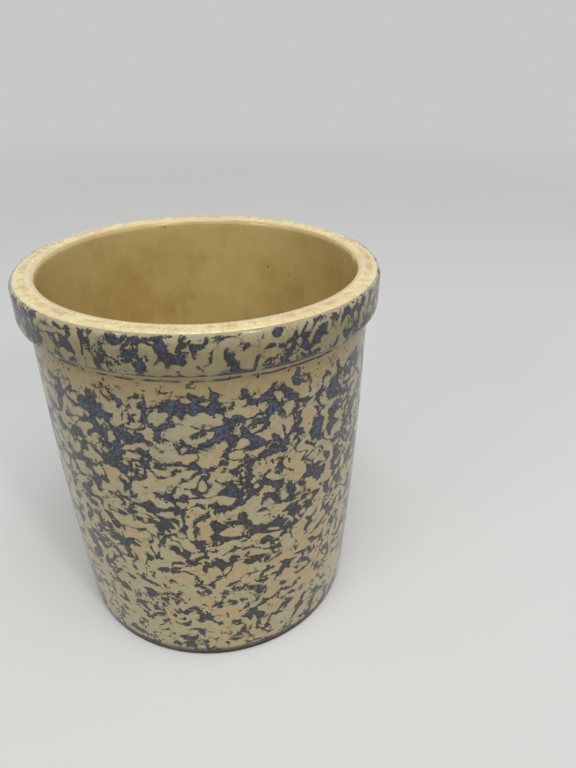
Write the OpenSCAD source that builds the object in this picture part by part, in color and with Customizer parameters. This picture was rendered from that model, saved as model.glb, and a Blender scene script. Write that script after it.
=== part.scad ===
// Small open stoneware crock: a jiggered clay body with a rolled collar, a wiped
// bare rim and a bare foot ring, a glaze coat outside and a liner glaze inside.
// Millimetres, +Z up. The origin is the middle of the foot, on the table.

/* [Overall] */
// Height from the table to the rim
height = 141; // [100:1:200]
// Diameter across the collar, the widest place
collar_d = 126; // [100:1:180]
// How much smaller the foot's radius is than the wall's under the collar
wall_taper = 3.7; // [1:0.1:8]

/* [Collar and rim] */
// Height of the collar band
collar_h = 14.5; // [8:0.5:20]
// How far the collar stands out beyond the wall
collar_overhang = 3.5; // [2:0.1:5]
// Radius of the collar's rounded lower lip
lip_r = 3.2; // [1.5:0.1:4]
// Radius of the glaze-filled hollow under the collar
tuck_r = 2; // [0.8:0.1:4]
// Radius of the rim's outer edge
rim_outer_r = 2.8; // [1:0.1:3]
// Radius of the rim's inner edge
rim_inner_r = 2.8; // [1:0.1:3]

/* [Wall and floor] */
// Height of the upright wall between the collar and where the wall starts to draw in
upright_h = 23; // [5:1:50]
// Thickness of the wall under the collar, glaze included
wall_t = 4.7; // [3.5:0.1:8]
// How much thicker the wall is at the floor than under the collar
wall_thicken = 2; // [0.5:0.1:5]
// Height of the inside floor above the table
floor_t = 7; // [5:0.5:12]
// Radius of the inside corner between the wall and the floor
corner_r = 9; // [4:0.5:20]

/* [Foot] */
// Width of the foot ring that stands on the table
foot_ring_w = 8; // [5:0.5:15]
// Depth of the hollow inside the foot ring
foot_hollow = 1.2; // [0.5:0.1:2.5]
// Radius of the foot's outer edge
foot_edge_r = 0.8; // [0.6:0.1:1.5]

/* [Glaze] */
// Thickness of both glaze coats
glaze_t = 0.35; // [0.2:0.05:0.5]
// Height of the bare clay band at the foot
bare_foot_h = 2.6; // [1.2:0.1:4]
// Depth below the rim at which both glaze coats stop
wiped_rim_h = 0.6; // [0.6:0.1:2]

/* [Hidden] */

collar_r = collar_d / 2;
wall_r = collar_r - collar_overhang;
mouth_r = wall_r - wall_t;
foot_r = wall_r - wall_taper;
past = 1; // what a cut runs past the clay
arc_lap = 0.005; // what two arcs share where they touch, so that they meet cleanly
turned_fn = 180;
small_fn = 96;
long_fn = 1440; // the wall's long arcs are over a metre in radius

// The glazed surface would reach the crown of the rim if the rim weren't wiped.
crown_z = height + glaze_t;
collar_z = height - collar_h;

// The lip's arc, and the hollow's arc that touches both the lip and the wall.
lip_x = collar_r - lip_r;
lip_z = collar_z + lip_r;
tuck_x = wall_r + tuck_r;
tuck_z = lip_z - sqrt(pow(lip_r + tuck_r - arc_lap, 2) - pow(tuck_x - lip_x, 2));

// Below bend_z the wall draws in along a long arc, inside and out.
bend_z = tuck_z - upright_h;

// Radius of the arc that falls back by sag over a run.
function arc_r(run, sag) = (run * run + sag * sag) / (2 * sag);
wall_arc = arc_r(bend_z, wall_taper);
liner_arc = arc_r(bend_z - floor_t, wall_taper + wall_thicken);

// A small arc of radius r at height z that touches, from within, a long arc which
// bulges to x: the sine of its slope there, and where its centre lies.
function touch_sin(z, r, arc) = (bend_z - z) / (arc - r);
function touch_x(x, z, r, arc) = x - arc + (arc - r) * sqrt(1 - pow(touch_sin(z, r, arc), 2)) + arc_lap;

corner_z = floor_t + corner_r;
corner_x = touch_x(mouth_r, corner_z, corner_r, liner_arc);
corner_sin = touch_sin(corner_z, corner_r, liner_arc);

edge_x = touch_x(wall_r - glaze_t, foot_edge_r, foot_edge_r, wall_arc - glaze_t);
edge_sin = touch_sin(foot_edge_r, foot_edge_r, wall_arc - glaze_t);

module disc(x, z, r) {
    translate([x, z]) circle(r, $fn = small_fn);
}

// A rectangle from (x0, z0) to (x1, z1).
module block(x0, z0, x1, z1) {
    translate([x0, z0]) square([x1 - x0, z1 - z0]);
}

// A long arc that bulges to x at bend_z, with what lies between it and the axis, from z0 up.
module bulge(x, r, z0) {
    intersection() {
        translate([x - r, bend_z]) circle(r, $fn = long_fn);
        block(0, z0, x + past, bend_z + past);
    }
}

// The collar's half section, drawn in by inset.
module collar_outline(inset) {
    block(0, collar_z + inset, lip_x, crown_z - rim_outer_r);
    block(0, lip_z, collar_r - inset, crown_z - rim_outer_r);
    block(0, lip_z, collar_r - rim_outer_r, crown_z - inset);
    disc(lip_x, lip_z, lip_r - inset);
    disc(collar_r - rim_outer_r, crown_z - rim_outer_r, rim_outer_r - inset);
}

// The soft hollow between the collar's lip and the wall.
module tuck_outline(inset) {
    core_x = wall_r - wall_t / 2;
    difference() {
        polygon([[core_x, tuck_z], [tuck_x, tuck_z], [lip_x, lip_z], [core_x, lip_z]]);
        disc(tuck_x, tuck_z, tuck_r + inset);
    }
}

// Everything inside the outer surface, drawn in by inset.
module outside(inset) {
    bulge(wall_r - inset, wall_arc - inset, 0);
    block(0, bend_z, wall_r - inset, lip_z);
    collar_outline(inset);
    tuck_outline(inset);
}

// The space inside the crock, widened by grow.
module inside(grow) {
    bulge(mouth_r + grow, liner_arc + grow, corner_z - (corner_r + grow) * corner_sin);
    block(0, bend_z, mouth_r + grow, crown_z + past);
    block(0, floor_t - grow, corner_x, bend_z + past);
    disc(corner_x, corner_z, corner_r + grow);
    difference() {
        block(0, crown_z - rim_inner_r, mouth_r + rim_inner_r, crown_z + past);
        disc(mouth_r + rim_inner_r, crown_z - rim_inner_r, rim_inner_r - grow);
    }
}

// What rounds the foot's outer edge and hollows the underside.
module foot_cut() {
    difference() {
        block(edge_x, -past, foot_r + past, foot_edge_r * (1 - edge_sin));
        disc(edge_x, foot_edge_r, foot_edge_r);
    }
    hollow_x = foot_r - glaze_t - foot_ring_w;
    block(0, -past, hollow_x - foot_hollow, foot_hollow);
    intersection() {
        disc(hollow_x - foot_hollow, 0, foot_hollow);
        block(0, -past, foot_r, foot_hollow);
    }
}

module clay_body() {
    color("#cdb88f") rotate_extrude($fn = turned_fn) difference() {
        outside(glaze_t);
        inside(glaze_t);
        foot_cut();
    }
}

module outer_glaze() {
    color("#b9ad7d") rotate_extrude($fn = turned_fn) intersection() {
        difference() {
            outside(0);
            outside(glaze_t);
        }
        block(foot_r - wall_t, bare_foot_h, collar_r + past, height - wiped_rim_h);
    }
}

module liner_glaze() {
    color("#9c8850") rotate_extrude($fn = turned_fn) intersection() {
        difference() {
            inside(glaze_t);
            inside(0);
        }
        block(0, 0, mouth_r + rim_inner_r, height - wiped_rim_h);
    }
}

clay_body();
outer_glaze();
liner_glaze();
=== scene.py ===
# Small open stoneware crock with a rolled collar: clay body, sponged outside glaze and liner glaze.
import math
import bpy
from mathutils import Matrix, Vector, noise


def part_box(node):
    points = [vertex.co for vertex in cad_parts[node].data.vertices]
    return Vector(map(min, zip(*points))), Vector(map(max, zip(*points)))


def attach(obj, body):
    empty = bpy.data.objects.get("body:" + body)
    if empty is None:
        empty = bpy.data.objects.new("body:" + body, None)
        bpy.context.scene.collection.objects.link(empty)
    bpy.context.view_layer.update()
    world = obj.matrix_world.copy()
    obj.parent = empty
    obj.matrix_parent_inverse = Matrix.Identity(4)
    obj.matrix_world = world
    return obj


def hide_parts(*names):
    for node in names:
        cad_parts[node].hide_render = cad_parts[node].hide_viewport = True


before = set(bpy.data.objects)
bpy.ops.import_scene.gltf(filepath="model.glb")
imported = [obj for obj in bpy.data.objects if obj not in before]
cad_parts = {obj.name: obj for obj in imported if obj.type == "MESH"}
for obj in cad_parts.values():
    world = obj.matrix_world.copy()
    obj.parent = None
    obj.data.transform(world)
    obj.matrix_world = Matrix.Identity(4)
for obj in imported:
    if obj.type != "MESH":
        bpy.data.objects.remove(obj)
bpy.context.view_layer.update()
mm = 0.001
print("frame loaded", sorted(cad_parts))

# Sizes that the frame fixes.
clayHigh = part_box("clay_body")[1]
coatLow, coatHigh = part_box("outer_glaze")
linerLow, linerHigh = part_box("liner_glaze")
height = clayHigh.z
collarRadius = coatHigh.x
glaze = coatHigh.x - clayHigh.x
floorTop = linerLow.z + glaze

crock = {
    "collarHeight": 14.5 * mm,
    "overhang": 3.5 * mm,
    "lipRadius": 3.2 * mm,
    "tuckRadius": 2 * mm,
    "rimOuter": 2.8 * mm,
    "rimInner": 2.8 * mm,
    "upright": 23 * mm,
    "wall": 4.7 * mm,
    "taper": 3.7 * mm,
    "thicken": 2 * mm,
    "corner": 9 * mm,
    "footRing": 8 * mm,
    "footHollow": 1.2 * mm,
    "footEdge": 0.8 * mm,
    "steps": 384,         # facets round the turned pieces
    "ring": 2.4 * mm,     # longest step along the outline
}


def arc(x, z, radius, start, end, step=0.6 * mm):
    count = max(2, math.ceil(abs(math.radians(end - start)) * radius / step))
    turns = [math.radians(start + (end - start) * i / count) for i in range(count + 1)]
    return [(x + radius * math.cos(a), z + radius * math.sin(a)) for a in turns]


def spread(points, longest):
    # adds points so that no step of the outline is longer than this
    dense = [points[0]]
    for here, there in zip(points, points[1:]):
        count = max(1, math.ceil(math.dist(here, there) / longest))
        for i in range(1, count + 1):
            dense.append(tuple(a + (b - a) * i / count for a, b in zip(here, there)))
    return [p for i, p in enumerate(dense) if i == 0 or math.dist(p, dense[i - 1]) > 1e-6]


def longArc(bulge, bend, foot, sag, inset, low):
    # the wall's slow curve, from height low up to the bend
    radius = ((bend - foot) ** 2 + sag ** 2) / (2 * sag)
    start = -math.degrees(math.asin((bend - low) / (radius - inset)))
    return arc(bulge - radius, bend, radius - inset, start, 0, crock["ring"])


def tuckHeight():
    # where the hollow under the collar has its centre
    lip, tuck = crock["lipRadius"], crock["tuckRadius"]
    across = lip + tuck - crock["overhang"]
    return height - crock["collarHeight"] + lip - math.sqrt((lip + tuck) ** 2 - across ** 2)


def skinPoints(inset):
    # the outer surface, from the foot to the rim, drawn in by inset
    wallRadius = collarRadius - crock["overhang"]
    crown = height + glaze
    lip, tuck, rim = crock["lipRadius"], crock["tuckRadius"], crock["rimOuter"]
    lipX, lipZ = collarRadius - lip, height - crock["collarHeight"] + lip
    tuckX, tuckZ = wallRadius + tuck, tuckHeight()
    bend = tuckZ - crock["upright"]
    meet = math.degrees(math.atan2(lipZ - tuckZ, lipX - tuckX))
    points = longArc(wallRadius, bend, 0, crock["taper"], inset, 0)
    points += arc(tuckX, tuckZ, tuck + inset, 180, meet)
    points += arc(lipX, lipZ, lip - inset, meet - 180, 0)
    points += arc(collarRadius - rim, crown - rim, rim - inset, 0, 90)
    return spread(points, crock["ring"]), bend


def boreRadius():
    return collarRadius - crock["overhang"] - crock["wall"]


def borePoints(grow, bend):
    # the inside surface, from the middle of the floor to the rim, widened by grow
    bore, corner, rim = boreRadius(), crock["corner"], crock["rimInner"]
    sag = crock["taper"] + crock["thicken"]
    radius = ((bend - floorTop) ** 2 + sag ** 2) / (2 * sag)
    slope = math.asin((bend - floorTop - corner) / (radius - corner))
    cornerX = bore - radius + (radius - corner) * math.cos(slope)
    cornerZ = floorTop + corner
    crown = height + glaze
    points = [(0, floorTop - grow)]
    points += arc(cornerX, cornerZ, corner + grow, -90, -math.degrees(slope), 1.2 * mm)
    low = cornerZ - (corner + grow) * math.sin(slope)
    points += longArc(bore, bend, floorTop, sag, -grow, low)
    points += arc(bore + rim, crown - rim, rim - grow, 180, 90)
    return spread(points, crock["ring"])


def between(points, low, high):
    # the part of an outline between two heights, cut exactly there
    kept = []
    for here, there in zip(points, points[1:]):
        cuts = sorted(t for z in (low, high) if (here[1] - z) * (there[1] - z) < 0
                      for t in [(z - here[1]) / (there[1] - here[1])])
        stations = [0, *cuts, 1]
        for t in stations:
            spot = (here[0] + (there[0] - here[0]) * t, here[1] + (there[1] - here[1]) * t)
            if low - 1e-9 <= spot[1] <= high + 1e-9 and (not kept or math.dist(kept[-1], spot) > 1e-7):
                kept.append(spot)
    return kept


def turn(name, outline, steps):
    # draws half the section point by point and spins it round the crock's axis
    bpy.ops.object.select_all(action="DESELECT")
    bpy.ops.mesh.primitive_plane_add(size=mm, location=(0, 0, 0))
    piece = bpy.context.active_object
    piece.name = piece.data.name = name
    bpy.ops.object.mode_set(mode="EDIT")
    bpy.ops.mesh.select_all(action="SELECT")
    bpy.ops.mesh.merge(type="CENTER")
    bpy.ops.transform.translate(value=(outline[0][0], 0, outline[0][1]))
    for here, there in zip(outline, outline[1:]):
        step = (there[0] - here[0], 0, there[1] - here[1])
        bpy.ops.mesh.extrude_region_move(TRANSFORM_OT_translate={"value": step})
    bpy.ops.object.mode_set(mode="OBJECT")
    bpy.ops.object.modifier_add(type="SCREW")
    lathe = piece.modifiers[-1]
    lathe.axis, lathe.angle, lathe.screw_offset = "Z", 2 * math.pi, 0
    lathe.steps = lathe.render_steps = steps
    lathe.use_merge_vertices = True
    bpy.ops.object.modifier_apply(modifier=lathe.name)
    bpy.ops.object.mode_set(mode="EDIT")
    bpy.ops.mesh.select_all(action="SELECT")
    bpy.ops.mesh.remove_doubles(threshold=2e-6)
    bpy.ops.mesh.normals_make_consistent(inside=False)
    bpy.ops.object.mode_set(mode="OBJECT")
    return piece


wear = {
    "oval": 0.06 * mm,       # how far out of round the crock was fired
    "ripple": 0.10 * mm,     # slow unevenness of the wall
    "rippleSize": 34 * mm,
    "rings": 0.05 * mm,      # what the throwing left
    "cove": 0.45 * mm,       # the groove worked in under the collar
    "lean": 0.8 * mm,        # how much lower the rim is at its lowest side
    "leanAngle": 97,         # degrees round from +X
    "rimDip": 0.16 * mm,
    "chipAngle": 6,
    "chipSize": 4.2 * mm,
    "chipDepth": 0.55 * mm,
}


def ease(value, low, high):
    t = min(1, max(0, (value - low) / (high - low)))
    return t * t * (3 - 2 * t)


def handMade(piece):
    # moves every point a little inwards, as drying and firing leave it
    angle = math.radians(wear["chipAngle"])
    chip = Vector((math.cos(angle), math.sin(angle), 0)) * (boreRadius() + 0.3 * mm)
    chip.z = height - 0.2 * mm
    coveZ = tuckHeight() + 0.8 * mm
    for vertex in piece.data.vertices:
        spot = vertex.co.copy()
        outward = Vector((spot.x, spot.y, 0))
        radius = outward.length
        if radius > 1e-4:
            outward.normalize()
        around = math.atan2(spot.y, spot.x)
        inward = wear["oval"] * (1 - math.cos(2 * around - 0.7)) / 2
        inward += wear["ripple"] * (0.5 - 0.5 * noise.noise(spot / wear["rippleSize"]))
        inward += wear["rings"] * (0.5 - 0.5 * noise.noise(Vector((0, 0, spot.z / (7 * mm)))))
        inward *= ease(spot.z, 2 * mm, 30 * mm) * ease(radius, 20 * mm, 40 * mm)
        outside = ease(radius, boreRadius() + 1 * mm, boreRadius() + 3 * mm)
        inward += outside * wear["cove"] * math.exp(-((spot.z - coveZ) / (1.0 * mm)) ** 2)
        lowSide = 0.5 + 0.5 * math.cos(around - math.radians(wear["leanAngle"]))
        drop = wear["lean"] * lowSide * ease(spot.z, 50 * mm, height)
        dip = wear["rimDip"] * (0.5 - 0.5 * noise.noise(Vector((spot.x, spot.y, 0)) / (28 * mm)))
        dip += 0.03 * mm * (1 - noise.noise(spot / (3 * mm)))
        drop += dip * ease(spot.z, height - 8 * mm, height)
        rough = noise.noise(spot / (1.7 * mm)) * 0.9 * mm + noise.noise(spot / (0.7 * mm)) * 0.3 * mm
        away = (spot - chip).length + rough
        bite = wear["chipDepth"] * (1 - ease(away, 0.25 * wear["chipSize"], wear["chipSize"]))
        vertex.co = spot - outward * (inward - 0.45 * bite) - Vector((0, 0, drop + bite))


def smooth(piece):
    bpy.ops.object.select_all(action="DESELECT")
    piece.select_set(True)
    bpy.context.view_layer.objects.active = piece
    bpy.ops.object.shade_smooth_by_angle(angle=math.radians(50))


# The coats overlap the clay by a hair, so that no seam shows.
tuckIn = 0.06 * mm


def coat(surface, back):
    # a closed coat between two outlines, with thin rounded ends
    ends = [tuple((a + b) / 2 for a, b in zip(surface[i], back[i])) for i in (0, -1)]
    return [ends[0], *surface, ends[1], *reversed(back), ends[0]]


def clayOutline():
    skin, bend = skinPoints(glaze)
    bore = borePoints(glaze, bend)
    footOut = collarRadius - crock["overhang"] - crock["taper"] - glaze
    hollow, edge = crock["footHollow"], crock["footEdge"]
    hollowX = footOut - crock["footRing"]
    under = [(0, hollow), (hollowX - hollow, hollow)]
    under += arc(hollowX - hollow, 0, hollow, 90, 0, 0.4 * mm)
    under += arc(footOut - edge, edge, edge, -90, 0, 0.3 * mm)
    upper = [p for p in skin if p[1] > edge + 0.3 * mm]
    return spread(under, crock["ring"]) + upper + bore[::-1]


def glazeOutline():
    skin, backing = skinPoints(0)[0], skinPoints(glaze + tuckIn)[0]
    low, high = coatLow.z, coatHigh.z
    return coat(between(skin, low, high), between(backing, low, high))


def linerOutline():
    bend = skinPoints(0)[1]
    surface = between(borePoints(0, bend), linerLow.z, linerHigh.z)
    backing = between(borePoints(glaze + tuckIn, bend), 0, linerHigh.z)
    end = tuple((a + b) / 2 for a, b in zip(surface[-1], backing[-1]))
    return [*surface, end, *reversed(backing)]


clayBody = turn("clayBody", clayOutline(), crock["steps"])
outerGlaze = turn("outerGlaze", glazeOutline(), crock["steps"])
linerGlaze = turn("linerGlaze", linerOutline(), crock["steps"])
for piece in (clayBody, outerGlaze, linerGlaze):
    handMade(piece)
    smooth(piece)
    print("turned", piece.name, len(piece.data.polygons), "faces")


class Wire:  # a socket that can be used in sums
    def __init__(self, finish, socket):
        self.finish, self.socket = finish, socket

    def maths(self, operation, *values):
        return self.finish.add("ShaderNodeMath", {"operation": operation}, dict(enumerate(values)))

    def __add__(self, other):
        return self.maths("ADD", self, other)

    def __radd__(self, other):
        return self.maths("ADD", other, self)

    def __sub__(self, other):
        return self.maths("SUBTRACT", self, other)

    def __rsub__(self, other):
        return self.maths("SUBTRACT", other, self)

    def __mul__(self, other):
        return self.maths("MULTIPLY", self, other)

    def __rmul__(self, other):
        return self.maths("MULTIPLY", other, self)

    def __abs__(self):
        return self.maths("ABSOLUTE", self)

    def most(self, other):
        return self.maths("MAXIMUM", self, other)

    def least(self, other):
        return self.maths("MINIMUM", self, other)


class Finish:  # a material and the nodes in it
    def __init__(self, name):
        self.material = bpy.data.materials.new(name)
        self.material.use_nodes = True
        self.tree = self.material.node_tree
        self.shader = self.tree.nodes["Principled BSDF"]
        self.place = self.add("ShaderNodeVectorMath", {"operation": "SCALE"}, {
            0: self.add("ShaderNodeTexCoord", out="Object"), "Scale": 1 / mm})

    def add(self, kind, settings=None, sockets=None, out=0):
        node = self.tree.nodes.new(kind)
        for key, value in (settings or {}).items():
            setattr(node, key, value)
        for key, value in (sockets or {}).items():
            if isinstance(value, Wire):
                self.tree.links.new(value.socket, node.inputs[key])
            else:
                node.inputs[key].default_value = value
        return Wire(self, node.outputs[out])

    def stretch(self, where, factors):
        return self.add("ShaderNodeVectorMath", {"operation": "MULTIPLY"}, {0: where, 1: factors})

    def shift(self, where, amount):
        return self.add("ShaderNodeVectorMath", {"operation": "ADD"}, {0: where, 1: amount})

    def mixVector(self, share, first, second):
        return self.add("ShaderNodeMix", {"data_type": "VECTOR"}, {0: share, 4: first, 5: second}, 1)

    def cloud(self, where, size, detail=2, rough=0.5, out="Fac"):
        return self.add("ShaderNodeTexNoise", None, {
            "Vector": where, "Scale": 1 / size, "Detail": detail, "Roughness": rough}, out)

    def warp(self, where, size, reach, detail=1):
        # pushes a pattern about by up to about a quarter of reach
        push = self.add("ShaderNodeVectorMath", {"operation": "SUBTRACT"}, {
            0: self.cloud(where, size, detail, out="Color"), 1: (0.5, 0.5, 0.5)})
        push = self.add("ShaderNodeVectorMath", {"operation": "SCALE"}, {0: push, "Scale": reach})
        return self.shift(where, push)

    def cells(self, where, size, out="Distance"):
        return self.add("ShaderNodeTexVoronoi", None, {"Vector": where, "Scale": 1 / size}, out)

    def ramp(self, value, low, high, bottom=0, top=1):
        return self.add("ShaderNodeMapRange", {"interpolation_type": "SMOOTHSTEP"}, {
            "Value": value, "From Min": low, "From Max": high, "To Min": bottom, "To Max": top})

    def mix(self, share, first, second, blend="MIX"):
        return self.add("ShaderNodeMix", {"data_type": "RGBA", "blend_type": blend}, {
            0: share, 6: first, 7: second}, 2)

    def far(self, where):
        return self.add("ShaderNodeVectorMath", {"operation": "LENGTH"}, {0: where}, "Value")

    def axis(self, name):
        return self.add("ShaderNodeSeparateXYZ", None, {0: self.place}, name)

    def bump(self, relief, depth, strength=1):
        # relief in millimetres times depth
        return self.add("ShaderNodeBump", None, {
            "Height": relief, "Distance": depth * mm, "Strength": strength})

    def connect(self, **sockets):
        for key, value in sockets.items():
            target = self.shader.inputs[key.replace("_", " ")]
            if isinstance(value, Wire):
                self.tree.links.new(value.socket, target)
            else:
                target.default_value = value
        return self.material


def tint(red, green, blue):
    # a colour as a paint chip reads it, 0 to 255
    linear = [c / 12.92 if c <= 0.04045 else ((c + 0.055) / 1.055) ** 2.4
              for c in (v / 255 for v in (red, green, blue))]
    return (*linear, 1)


bare = {
    "buff": tint(228, 212, 156),
    "pale": tint(248, 233, 184),
    "toast": tint(204, 184, 130),
    "pink": tint(216, 184, 146),
    "crumb": tint(146, 118, 80),
    "stain": tint(176, 148, 98),
    "grimeAndFootShade": tint(50, 38, 14),
    "under": tint(186, 158, 116),
    "film": tint(232, 214, 160),
    "rimMiddle": 59,      # mm, the radius of the middle of the flat rim
}


sponge = {
    "drift": 14,          # mm, the size of the swirls in the print
    "vein": 7.2,          # mm between the main strokes
    "branch": 8.6,        # mm between the thinner strokes that join them
    "dab": 4.2,           # mm, where the sponge pressed harder and left blotches
    "tooth": 0.85,        # mm, the ragged edge left by the sponge's pores
    "topMargin": 139.4,   # mm above the table at which the print stops on the collar
    "cream": tint(178, 168, 130),
    "stone": tint(167, 159, 128),
    "peach": tint(186, 160, 113),
    "olive": tint(146, 139, 96),
    "slate": tint(66, 77, 102),
    "lead": tint(56, 60, 74),
    "navy": tint(18, 21, 34),
    "teal": tint(40, 58, 64),
    "plum": tint(26, 23, 29),
    "speck": tint(66, 52, 48),
    "haze": tint(112, 118, 130),
    # colour of the band under the collar: pooled glaze with painted shade
    "honeyAndShade": tint(166, 146, 100),
    "collarShade": tint(216, 214, 194),
    "filmLow": tint(238, 236, 232),
    "filmHigh": tint(252, 251, 249),
    # the groove's dark streak is painted shade
    "grooveShadeHeight": 125,    # mm above the table, less the noise's half, of the dark line in the groove
}


def spongedGlaze():
    f = Finish("spongedGlaze")
    z = f.axis("Z")
    collar = f.ramp(z, 126, 127)
    place = f.stretch(f.place, (1, 1, 1.12))
    place = f.mixVector(collar, place, f.shift(f.stretch(f.place, (1.12, 1.12, 1.0)), (0, 0, 96)))
    drift = f.warp(place, sponge["drift"], 8)
    dabs = f.warp(drift, 3.2, 2.2, 2)

    # how loaded the sponge was: nearly dry under the collar, wettest a third of the way down
    load = f.ramp(z, 20, 90, -0.74, -0.20)
    load = load + f.ramp(z, 127, 115, -2.1, 0) * (1 - collar)
    load = load + collar * f.ramp(z, sponge["topMargin"], sponge["topMargin"] + 1.4, -0.2, -2.6)
    # more print along the lip's lower edge: a dark band that is partly print and partly painted shade
    # under the lip
    load = load + collar * f.ramp(z, 128.6, 127.8, 0, 1.5)
    patch = (f.cloud(f.shift(place, (31, 7, 12)), 15, 2, 0.5) - 0.5) * 2.4
    press = (f.cloud(f.shift(dabs, (8, 8, 8)), sponge["dab"], 1, 0.45) - 0.5) * 6
    vein = 1.05 - abs(f.cloud(dabs, sponge["vein"], 1, 0.35) - 0.5) * 16
    branch = 0.8 - abs(f.cloud(f.shift(dabs, (4, 9, 61)), sponge["branch"], 1, 0.35) - 0.5) * 18

    busy = f.cloud(f.shift(place, (9, 50, 20)), 9, 1)
    jag = (f.cloud(place, sponge["tooth"], 2, 0.6) - 0.5) * f.ramp(busy, 0.4, 0.65, 1.4, 4)
    wet = load + patch + press + vein.most(branch)
    strokes = f.ramp(wet + jag, -0.42, 0.3)
    fine = f.cloud(f.shift(place, (3, 3, 3)), 1.6, 1, 0.5) - 0.5
    lace = f.ramp(busy, 0.5, 0.66, -2.0, -0.5) + fine * 8 + (wet * 0.25).most(-0.3) + jag * 0.3
    ink = strokes.most(f.ramp(lace, -0.25, 0.3))

    # colour in the blue: bluer and hazier high up, greyer low down, dark and plum where it is thin
    high = f.ramp(z, 60, 115)
    mottle = f.cloud(place, 1.2, 3, 0.65)
    slate = f.mix(high, sponge["lead"], sponge["slate"])
    blue = f.mix(f.ramp(mottle, 0.42, 0.60), slate, sponge["navy"])
    greener = f.ramp(f.cloud(f.shift(place, (70, 1, 1)), 6, 1), 0.54, 0.68)
    blue = f.mix(greener * 0.6, blue, sponge["teal"])
    thin = f.ramp(wet, 1.5, 0.1)
    blue = f.mix(thin * 0.85, blue, sponge["plum"])
    grain = f.ramp(f.cloud(place, 0.55, 2, 0.6), 0.56, 0.7) * (1 - thin * 0.7)
    blue = f.mix(grain * f.ramp(high, 0, 1, 0.25, 0.6), blue, sponge["haze"])

    # the glaze between: cream, warmer in the open and greener beside the blue
    clear = f.ramp(wet, -0.2, -1.4)
    warm = f.ramp(f.cloud(f.shift(place, (1, 9, 80)), 16, 2), 0.42, 0.62) * clear
    warm = warm * f.ramp(z, 128, 90, 0.4, 1)
    ground = f.mix(warm * 0.7, f.mix(high, sponge["cream"], sponge["stone"]), sponge["peach"])
    near = f.ramp(wet, -1.0, 0.1) * f.ramp(f.cloud(place, 4, 2), 0.32, 0.6)
    ground = f.mix(near * 0.42, ground, sponge["olive"])
    # a deeper honey band just under the collar: partly glaze pooled thicker there, partly painted
    # shade cast by the collar
    poolAndShade = f.ramp(z, 126, 124.5) * f.ramp(z, 113, 120)
    ground = f.mix(poolAndShade * 0.8, ground, sponge["honeyAndShade"])
    cloudy = f.ramp(f.cloud(f.shift(place, (12, 0, 44)), 2.6, 4, 0.65), 0.34, 0.58)
    cloudy = f.mix(cloudy, sponge["filmLow"], sponge["filmHigh"])
    ground = f.mix(1, ground, cloudy, "MULTIPLY")


    # the collar is a little deeper in colour than the wall
    ground = f.mix(collar * f.ramp(z, 139.4, 134), ground, sponge["collarShade"], "MULTIPLY")
    blue = f.mix(collar * 0.4, blue, sponge["navy"])
    colour = f.mix(ink * 0.96, ground, blue)

    # specks where the print thins out under the collar, and a broken dark streak of painted shade in
    # the groove there
    flecks = f.cloud(f.shift(place, (60, 2, 2)), 1.7, 2)
    flecks = flecks + f.cloud(f.shift(place, (2, 60, 2)), 8, 1) * 0.7
    flecks = f.ramp(flecks, 0.99, 1.05) * f.ramp(z, 111, 116) * f.ramp(z, 126, 124.5)
    shadeStreak = f.ramp(abs(z - sponge["grooveShadeHeight"] + f.cloud(place, 6, 2)), 0.46, 0.16)
    shadeStreak = shadeStreak * f.ramp(f.cloud(place, 5, 2), 0.42, 0.56)
    colour = f.mix(flecks * 0.8, colour, sponge["speck"])
    colour = f.mix(shadeStreak * 0.85, colour, sponge["navy"])
    # painted shade at the foot: the lowest few millimetres of the glaze darken to dark brown, partly
    # grime and partly painted contact shade
    soilAndShade = f.ramp(z + f.cloud(place, 3, 3) * 2, 6.2, 4.4)
    colour = f.mix(soilAndShade * 0.85, colour, bare["grimeAndFootShade"])
    soft = f.cloud(place, 9, 3)
    relief = f.cloud(place, 5, 2) + f.cloud(place, 1.3, 2) * 0.12 + ink * 0.05
    return f.connect(
        Base_Color=colour,
        Roughness=f.ramp(soft, 0.3, 0.7, 0.12, 0.24) + ink * 0.04,
        IOR=1.48,
        Normal=f.bump(relief, 0.32, 0.8))


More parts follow.
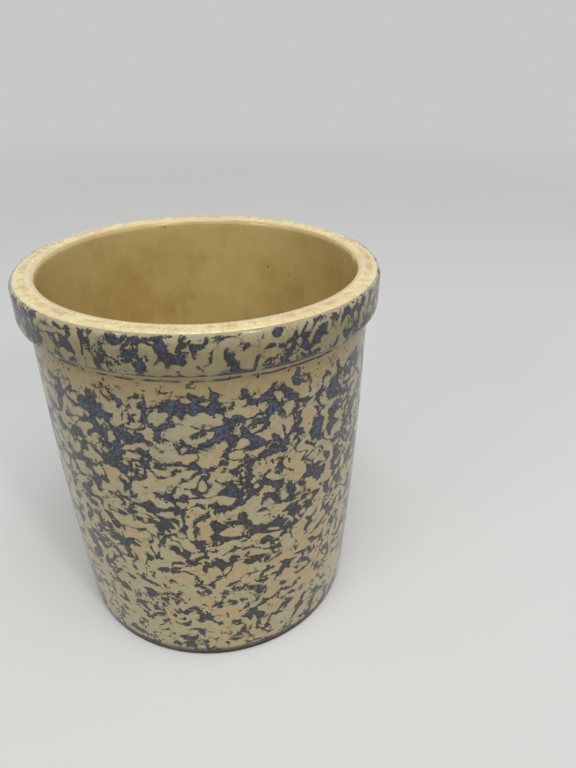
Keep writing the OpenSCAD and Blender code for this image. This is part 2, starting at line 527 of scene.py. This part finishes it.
def bareStoneware():
    f = Finish("bareStoneware")
    z = f.axis("Z")
    place = f.place
    radius = f.far(f.stretch(place, (1, 1, 0)))

    body = f.mix(f.ramp(f.cloud(place, 3.2, 3, 0.6), 0.4, 0.6), bare["buff"], bare["toast"])
    crumbly = f.ramp(f.cloud(f.shift(place, (40, 0, 0)), 1.1, 3, 0.7), 0.46, 0.66)
    body = f.mix(crumbly * 0.75, body, bare["pale"])
    flush = f.ramp(f.cloud(f.shift(place, (0, 30, 0)), 24, 2), 0.52, 0.66)
    body = f.mix(flush * 0.6, body, bare["pink"])
    size = f.add("ShaderNodeSeparateColor", None, {0: f.cells(place, 1.7, out="Color")}, "Red")
    pits = f.ramp(f.ramp(size, 0.55, 1, 0, 0.2) - f.cells(place, 1.7), -0.04, 0.03)
    body = f.mix(pits * 0.5, body, bare["crumb"])
    smear = f.ramp(f.cloud(f.stretch(place, (1, 1, 3)), 2.2, 3, 0.7), 0.56, 0.7)
    body = f.mix(smear * 0.3, body, bare["crumb"])
    stain = f.ramp(f.cloud(f.shift(place, (0, 9, 5)), 7, 3, 0.65), 0.5, 0.66)
    stain = stain * f.ramp(f.cloud(place, 1.1, 3, 0.7), 0.35, 0.6)
    body = f.mix(stain * 0.65, body, bare["stain"])

    # a thin glossy film is left along both edges of the wiped rim
    film = f.ramp(abs(radius - bare["rimMiddle"]), 0.6, 1.8) * f.ramp(z, 100, 120)
    film = film * f.ramp(f.cloud(place, 1.8, 3, 0.6), 0.30, 0.44)
    body = f.mix(film * 0.5, body, bare["film"])

    body = f.mix(f.ramp(z, 60, 40), body, bare["under"])
    # painted shade at the foot: the outer edge of the bare foot darkens, partly grime and partly
    # painted contact shade
    dirtAndShade = f.ramp(z, 4.0, 2.8) * f.ramp(radius, 51.5, 54)
    body = f.mix(dirtAndShade * f.ramp(f.cloud(place, 4, 3), 0.25, 0.5, 0.75, 1), body, bare["grimeAndFootShade"])
    relief = f.cloud(place, 0.6, 3, 0.7) - pits * 0.6
    return f.connect(
        Base_Color=body,
        Roughness=f.ramp(f.cloud(place, 2.5, 2), 0.3, 0.7, 0.5, 0.75) * (1 - film * 0.8),
        Normal=f.bump(relief, 0.12, 0.7))


liner = {
    "ochre": tint(205, 182, 120),
    "amber": tint(194, 167, 104),
    "strawAndTopLight": tint(216, 197, 139),
    "iron": tint(112, 84, 44),
}


def linerFinish():
    f = Finish("linerFinish")
    z = f.axis("Z")
    place = f.place
    flow = f.stretch(place, (1, 1, 0.45))
    base = f.mix(f.ramp(f.cloud(place, 24, 3), 0.4, 0.62), liner["ochre"], liner["amber"])
    base = f.mix(f.ramp(f.cloud(flow, 6, 4, 0.6), 0.45, 0.7) * 0.35, base, liner["strawAndTopLight"])
    # painted light: the liner grows lighter towards the rim, where more light reaches it
    base = f.mix(f.ramp(z, 122, 140) * 0.3, base, liner["strawAndTopLight"])
    rings = f.cloud(f.stretch(place, (0.05, 0.05, 1)), 3.2, 2)
    base = f.mix(f.ramp(rings, 0.52, 0.68) * 0.03, base, liner["iron"])
    haze = f.ramp(f.cloud(place, 1.4, 3, 0.7), 0.52, 0.75)
    base = f.mix(haze * 0.16, base, liner["iron"])
    for cell, reach, share in ((5.6, 0.09, 0.6), (2.3, 0.09, 0.4)):
        spots = f.warp(place, 2.5, 1.2)
        size = f.add("ShaderNodeSeparateColor", None, {0: f.cells(spots, cell, out="Color")}, "Green")
        iron = f.ramp(f.ramp(size, 0.68, 1, -0.02, reach) - f.cells(spots, cell), -0.05, 0.01)
        base = f.mix(iron * share, base, liner["iron"])
    relief = f.cloud(place, 7, 2) + f.cloud(place, 1.6, 2) * 0.12 + rings * 0.25
    return f.connect(
        Base_Color=base,
        Roughness=f.ramp(f.cloud(place, 8, 3), 0.3, 0.7, 0.12, 0.24),
        IOR=1.52,
        Normal=f.bump(relief, 0.3, 0.5))


def dress(piece, material, node):
    piece.data.materials.append(material)
    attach(piece, "root")
    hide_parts(node)


dress(clayBody, bareStoneware(), "clay_body")
dress(outerGlaze, spongedGlaze(), "outer_glaze")
dress(linerGlaze, linerFinish(), "liner_glaze")
print("finishes made")


studio = {
    "floor": tint(222, 221, 218),
    "background": tint(202, 200, 198),
    "reflected": tint(254, 254, 253),
    "fade": (350, 1500),     # mm from the crock over which the table becomes the background
    "tableSize": 12,
    "world": tint(226, 228, 232),
    "worldLevel": 0.40,
    "overhead": 35,          # watts of the soft lamp over the table
    "overheadSize": 1.5,
    "overheadPlace": (0.25, -0.75, 2.3),
    "window": 2.0,           # watts of the soft lamp at the front left
    "windowSize": 0.36,
    "windowPlace": (-0.9, -0.9, 0.8),
    "spark": 3.6,            # watts of the small lamp that the glaze mirrors
    "sparkSize": 0.17,
    "sparkPlace": (0.8, -1.0, 1.0),
    "lens": 27.9,
    "cameraPlace": (0.0312, -0.2030, 0.2075),
    "cameraPitch": 30.1,
    "cameraRoll": 0.55,
}


def lamp(name, place, size, power):
    bpy.ops.object.light_add(type="AREA", location=place)
    made = bpy.context.active_object
    made.name = name
    made.data.energy = power
    made.data.size = size
    toward = Vector((0, 0, height / 2)) - Vector(place)
    made.rotation_euler = toward.to_track_quat("-Z", "Y").to_euler()


bpy.ops.object.select_all(action="DESELECT")
bpy.ops.mesh.primitive_plane_add(size=studio["tableSize"], location=(0, 0, 0))
table = bpy.context.active_object
table.name = "table"
tableFinish = Finish("tableFinish")
tableFinish.connect(Base_Color=studio["floor"], Roughness=0.9)
tableFinish.shader.inputs["Specular IOR Level"].default_value = 0.1
# Well away from the crock the table fades into the plain background.
seen = tableFinish.add("ShaderNodeLightPath", out="Is Camera Ray")
seen = seen.most(tableFinish.add("ShaderNodeLightPath", out="Is Glossy Ray"))
seenFar = tableFinish.ramp(tableFinish.far(tableFinish.place), *studio["fade"]) * seen
plain = tableFinish.add("ShaderNodeEmission", None, {"Color": studio["background"]})
blended = tableFinish.add("ShaderNodeMixShader", None, {
    0: seenFar, 1: Wire(tableFinish, tableFinish.shader.outputs[0]), 2: plain})
tableFinish.tree.links.new(blended.socket, tableFinish.tree.nodes["Material Output"].inputs["Surface"])
table.data.materials.append(tableFinish.material)

lamp("overhead", studio["overheadPlace"], studio["overheadSize"], studio["overhead"])
lamp("window", studio["windowPlace"], studio["windowSize"], studio["window"])
lamp("spark", studio["sparkPlace"], studio["sparkSize"], studio["spark"])

# The room lights softly, and shows as a plain pale wall to the camera and in the glaze.
world = bpy.data.worlds.new("room")
bpy.context.scene.world = world
world.use_nodes = True
tree = world.node_tree
lit = tree.nodes["Background"]
lit.inputs["Color"].default_value = studio["world"]
lit.inputs["Strength"].default_value = studio["worldLevel"]
rays = tree.nodes.new("ShaderNodeLightPath")
last = lit
for ray, colour in (("Is Glossy Ray", studio["reflected"]), ("Is Camera Ray", studio["background"])):
    seen = tree.nodes.new("ShaderNodeBackground")
    seen.inputs["Color"].default_value = colour
    blend = tree.nodes.new("ShaderNodeMixShader")
    tree.links.new(rays.outputs[ray], blend.inputs[0])
    tree.links.new(last.outputs[0], blend.inputs[1])
    tree.links.new(seen.outputs[0], blend.inputs[2])
    last = blend
tree.links.new(last.outputs[0], tree.nodes["World Output"].inputs["Surface"])

bpy.ops.object.camera_add(location=studio["cameraPlace"])
camera = bpy.context.active_object
camera.data.lens = studio["lens"]
camera.data.clip_start = 0.005
tilt = Matrix.Rotation(math.radians(90 - studio["cameraPitch"]), 3, "X")
roll = Matrix.Rotation(math.radians(studio["cameraRoll"]), 3, "Z")
camera.rotation_euler = (tilt @ roll).to_euler()
bpy.context.scene.camera = camera
bpy.context.scene.view_settings.view_transform = "Standard"
print("studio set")
